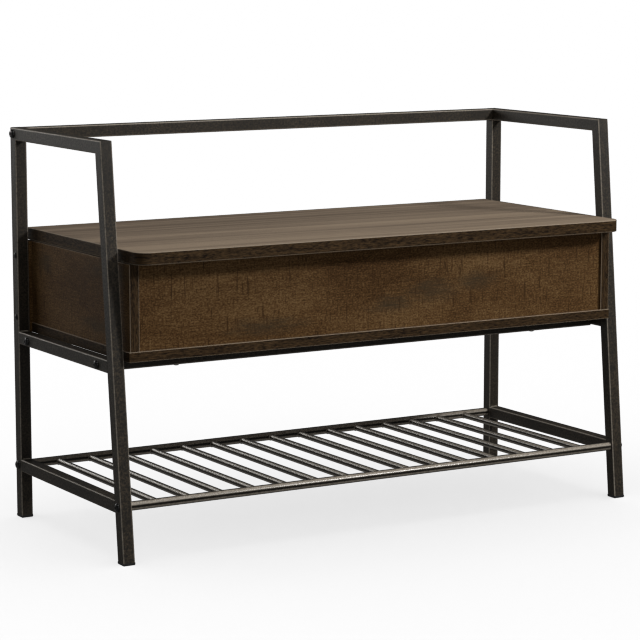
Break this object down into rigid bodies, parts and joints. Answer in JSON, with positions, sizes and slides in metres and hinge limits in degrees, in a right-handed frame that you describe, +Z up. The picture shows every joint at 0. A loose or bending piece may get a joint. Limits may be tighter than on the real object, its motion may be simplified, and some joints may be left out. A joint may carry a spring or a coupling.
{
  "type": "entryway bench",
  "caption": "Entryway storage bench: square-tube side frames with arms and a back rail, a wood box with a lift-up lid and a rod shoe shelf.",
  "frame": {"origin": "on the floor, under the middle of the bench's footprint", "axes": "+X along the seat, to the right as seen from the front, +Y from the front to the back, +Z up"},
  "size_m": [0.9808, 0.4206, 0.657],
  "materials": {
    "frame_metal": "satin bronze-black powder coat",
    "shelf_metal": "satin bronze-black powder coat, smoother on the round rods",
    "black_bolt": "black oxide, semi-gloss",
    "zinc_steel": "zinc plated",
    "insert_brass": "turned",
    "glide_plastic": "matte moulded",
    "bumper_rubber": "soft matte",
    "dowel_wood": "plain fluted beech",
    "lid_laminate": "grey-brown oak-look laminate on engineered board, satin",
    "panel_laminate": "dark brown oak-look laminate on engineered board, satin"
  },
  "bodies": {
    "frame": {"left_rear_post": "frame_metal", "left_front_post": "frame_metal", "left_top_rail": "frame_metal", "left_mid_rail": "frame_metal", "left_low_rail": "frame_metal", "right_rear_post": "frame_metal", "right_front_post": "frame_metal", "right_top_rail": "frame_metal", "right_mid_rail": "frame_metal", "right_low_rail": "frame_metal", "back_top_rail": "frame_metal", "front_cross_rail": "frame_metal", "rear_cross_rail": "frame_metal", "shelf_front_bar": "shelf_metal", "shelf_rear_bar": "shelf_metal", "shelf_rods": "shelf_metal", "frame_bolts": "black_bolt", "panel_bolts": "black_bolt", "rail_end_nuts": "zinc_steel", "bar_end_nuts": "zinc_steel", "board_screws": "zinc_steel", "cam_locks": "zinc_steel", "cam_bolts": "zinc_steel", "hinge_box_leaves": "zinc_steel", "hinge_box_screws": "zinc_steel", "hinge_pins": "zinc_steel", "stay_side_screws": "zinc_steel", "panel_inserts": "insert_brass", "foot_glides": "glide_plastic", "lid_bumpers": "bumper_rubber", "panel_dowels": "dowel_wood", "bottom_board": "panel_laminate", "left_side_panel": "panel_laminate", "right_side_panel": "panel_laminate", "front_panel": "panel_laminate", "back_panel": "panel_laminate", "left_stay_side_bracket": "zinc_steel", "right_stay_side_bracket": "zinc_steel"},
    "lid": {"lid": "lid_laminate", "hinge_lid_leaves": "zinc_steel", "hinge_lid_screws": "zinc_steel", "stay_lid_screws": "zinc_steel", "left_stay_lid_bracket": "zinc_steel", "right_stay_lid_bracket": "zinc_steel"},
    "left_upper_link": {"left_stay_upper_link": "zinc_steel", "left_stay_rivet": "zinc_steel"},
    "left_lower_link": {"left_stay_lower_link": "zinc_steel"},
    "right_upper_link": {"right_stay_upper_link": "zinc_steel", "right_stay_rivet": "zinc_steel"},
    "right_lower_link": {"right_stay_lower_link": "zinc_steel"}
  },
  "joints": [
    {"name": "lid_hinge", "type": "hinge", "parent": "frame", "child": "lid", "pos_m": [0, 0.20815, 0.46975], "axis": [-1, 0, 0], "range_deg": [0, 75]},
    {"name": "left_upper_link_pivot", "type": "hinge", "parent": "lid", "child": "left_upper_link", "pos_m": [-0.4384, 0.07265, 0.45725], "axis": [1, 0, 0], "range_deg": [0, 75.3]},
    {"name": "left_lower_link_pivot", "type": "hinge", "parent": "frame", "child": "left_lower_link", "pos_m": [-0.4409, 0.14615, 0.38075], "axis": [-1, 0, 0], "range_deg": [0, 75.3]},
    {"name": "right_upper_link_pivot", "type": "hinge", "parent": "lid", "child": "right_upper_link", "pos_m": [0.4384, 0.07265, 0.45725], "axis": [1, 0, 0], "range_deg": [0, 75.3]},
    {"name": "right_lower_link_pivot", "type": "hinge", "parent": "frame", "child": "right_lower_link", "pos_m": [0.4409, 0.14615, 0.38075], "axis": [-1, 0, 0], "range_deg": [0, 75.3]}
  ],
  "couplings": [
    {"joint": "left_upper_link_pivot", "follows": "lid_hinge", "ratio": 1.0017},
    {"joint": "left_lower_link_pivot", "follows": "lid_hinge", "ratio": 1.0014},
    {"joint": "right_upper_link_pivot", "follows": "lid_hinge", "ratio": 1.0017},
    {"joint": "right_lower_link_pivot", "follows": "lid_hinge", "ratio": 1.0014}
  ]
}
